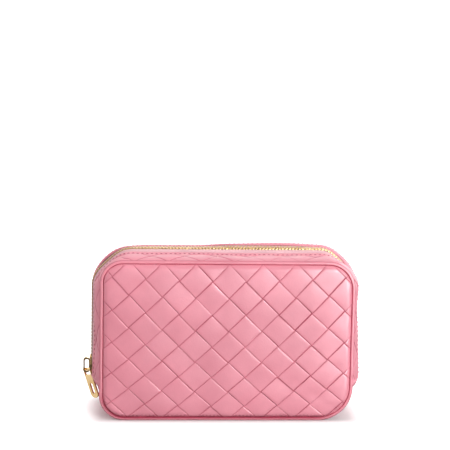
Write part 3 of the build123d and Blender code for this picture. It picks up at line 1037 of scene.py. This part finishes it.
def turned_pull():
    """The pull as it hangs: turned in its loop about its own length, its front edge towards the bag."""
    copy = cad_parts["pull_tab"].data.copy()
    points = np.array([v.co for v in copy.vertices])
    order = np.argsort(points[:, 2])
    foot, head = points[order[: len(order) // 6]].mean(0), points[order[-len(order) // 6 :]].mean(0)
    spin = Matrix.Rotation(math.radians(PULL_TURN), 4, Vector(head - foot))
    copy.transform(Matrix.Translation(Vector(head)) @ spin @ Matrix.Translation(-Vector(head)))
    copy.materials.clear()
    copy.materials.append(GOLD)
    piece = new_object("pull_tab_made", copy)
    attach(piece, "pull")
    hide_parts("pull_tab")


turned_pull()
for node in ("slider_body", "slider_bridge"):
    plate(node, GOLD)
plate("base_stiffener", BOARD)
ZIP_METAL = {
    "front": ("front_zip_teeth", "front_top_stop"),
    "back": ("back_zip_teeth", "back_top_stop", "bottom_stop"),
}
for side, parts in ZIP_METAL.items():
    for node in parts:
        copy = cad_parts[node].data.copy()
        rest = np.array([v.co for v in copy.vertices]) / MM
        copy.vertices.foreach_set("co", (relaxed(rest) * MM).astype(np.float32).ravel())
        copy.materials.clear()
        copy.materials.append(TEETH)
        piece = new_object(node + "_made", copy)
        settle(piece, side, "gold_metal", node)


# ---------------- floor, light and camera


def stage():
    """A pale floor that sweeps up behind the bag, and glows, a painted light, away from the bag's
    footprint.
    """
    ys = [-3.0, 1.2, 1.6, 1.9, 2.1, 2.2, 2.2]
    zs = [0, 0, 0.04, 0.16, 0.36, 0.7, 4.0]
    points = [(x, y, z) for y, z in zip(ys, zs) for x in (-4.0, 4.0)]
    faces = [(2 * k, 2 * k + 1, 2 * k + 3, 2 * k + 2) for k in range(len(ys) - 1)]
    mesh = bpy.data.meshes.new("floor")
    mesh.from_pydata(points, [], faces)
    mesh.shade_smooth()
    floor = new_object("floor", mesh)
    pale = (0.9, 0.9, 0.9)
    material, nodes, links, shader, place = new_material("pale_floor", pale, 0.8, specular=0.1)
    tone = mix(nodes, links, noise(nodes, links, place, 3), (0.90, 0.895, 0.89), (0.93, 0.93, 0.93))
    links.new(tone, shader.inputs["Base Color"])
    away = place  # the distance from the bag's footprint, where the floor's painted glow fades out
    footprint = (0.09, 0.028, 0.0)
    steps = (("ABSOLUTE", None), ("SUBTRACT", footprint), ("MAXIMUM", (0, 0, 0)), ("LENGTH", None))
    for operation, other in steps:
        step = nodes.new("ShaderNodeVectorMath")
        step.operation = operation
        links.new(away, step.inputs[0])
        if other:
            step.inputs[1].default_value = other
        away = step.outputs["Value" if operation == "LENGTH" else "Vector"]
    # Painted light: the floor glows white beyond the footprint, fading to none close to the bag.
    shader.inputs["Emission Color"].default_value = (1, 1, 1, 1)
    links.new(ramp(nodes, links, away, 0.0, 0.024, 0.0, 0.75), shader.inputs["Emission Strength"])
    mesh.materials.append(material)
    # The bag takes its light from the lamps and the sky, and none from the floor.
    floor.visible_diffuse = floor.visible_glossy = False


def area_light(name, place, aim, size, watts, colour=(1, 1, 1)):
    data = bpy.data.lights.new(name, "AREA")
    data.shape = "RECTANGLE"
    data.size, data.size_y = size
    data.energy = watts
    data.color = colour
    light = new_object(name, data)
    light.location = place
    light.rotation_mode = "QUATERNION"
    light.rotation_quaternion = (Vector(aim) - Vector(place)).to_track_quat("-Z", "Y")
    return light


stage()
area_light("key", (0.6, -1.15, 0.34), (0, 0, 0.06), (0.8, 0.7), 12.8)
area_light("top", (0.3, -0.1, 1.4), (0, 0, 0), (1.4, 1.0), 2.4)
area_light("fill", (-1.0, -1.3, 0.8), (0, 0, 0.06), (1.0, 1.0), 1.6, (1, 0.92, 0.93))
area_light("left", (-1.15, 0.1, 0.4), (0, 0, 0.06), (0.9, 0.9), 5.2)
area_light("right", (1.3, -0.35, 0.35), (0, 0, 0.06), (0.8, 0.6), 1.6)
sheen = area_light("sheen", (0.8, -1.1, 0.15), (0, 0, 0.06), (0.9, 0.5), 50)
rim = area_light("rim", (0.75, 1.15, 0.4), (0, 0, 0.06), (1.9, 1.0), 9)
sheen.visible_diffuse = rim.visible_diffuse = False  # they only shine on the leather

world = bpy.data.worlds.new("studio")
bpy.context.scene.world = world
world.use_nodes = True
nodes, links = world.node_tree.nodes, world.node_tree.links
direction = nodes.new("ShaderNodeTexCoord").outputs["Generated"]
height = nodes.new("ShaderNodeSeparateXYZ")
links.new(direction, height.inputs["Vector"])
beside = nodes.new("ShaderNodeVectorMath")
beside.operation = "DOT_PRODUCT"
beside.inputs[1].default_value = (0.8, 0.6, 0)
links.new(direction, beside.inputs[0])
upper = ramp(nodes, links, height.outputs["Z"], -0.4, 0.02, 0.04, 1.0)
right = ramp(nodes, links, beside.outputs["Value"], -0.7, 0.6, 0.3, 1.0)
bounce = ramp(nodes, links, height.outputs["Z"], -0.25, -0.6, 0.0, 1.0)
left = ramp(nodes, links, height.outputs["X"], -0.2, -0.7, 0.0, 0.9)


def combined(operation, first, second):
    node = nodes.new("ShaderNodeMath")
    node.operation = operation
    links.new(first, node.inputs[0])
    links.new(second, node.inputs[1])
    return node.outputs["Value"]


glow = combined("ADD", combined("MULTIPLY", upper, right), combined("MULTIPLY", bounce, left))
links.new(glow, nodes["Background"].inputs["Strength"])
nodes["Background"].inputs["Color"].default_value = (1, 0.95, 0.955, 1)

bpy.context.scene.view_settings.view_transform = "Standard"

# The camera stands a little to the left of square-on, above the bag, and is aimed over its top.
AZIMUTH, ELEVATION, DISTANCE, ROLL = -4.0, 12.5, 1.3, 1.034
turn, rise = math.radians(AZIMUTH), math.radians(ELEVATION)
toward = Vector((math.sin(turn) * math.cos(rise), -math.cos(turn) * math.cos(rise), math.sin(rise)))
front_middle = Vector((0, -SEAM_Y * MM, 0.06))
camera_data = bpy.data.cameras.new("camera")
camera_data.lens = 139.6
camera_data.sensor_width = 36.0
camera_data.clip_start, camera_data.clip_end = 0.05, 30
camera = new_object("camera", camera_data)
camera.location = front_middle + toward * DISTANCE
aim = Vector((-0.0033, -SEAM_Y * MM, 0.1477))
look = (aim - camera.location).to_track_quat("-Z", "Y").to_matrix()
camera.rotation_mode = "QUATERNION"
camera.rotation_quaternion = (look @ Matrix.Rotation(math.radians(ROLL), 3, "Z")).to_quaternion()
bpy.context.scene.camera = camera
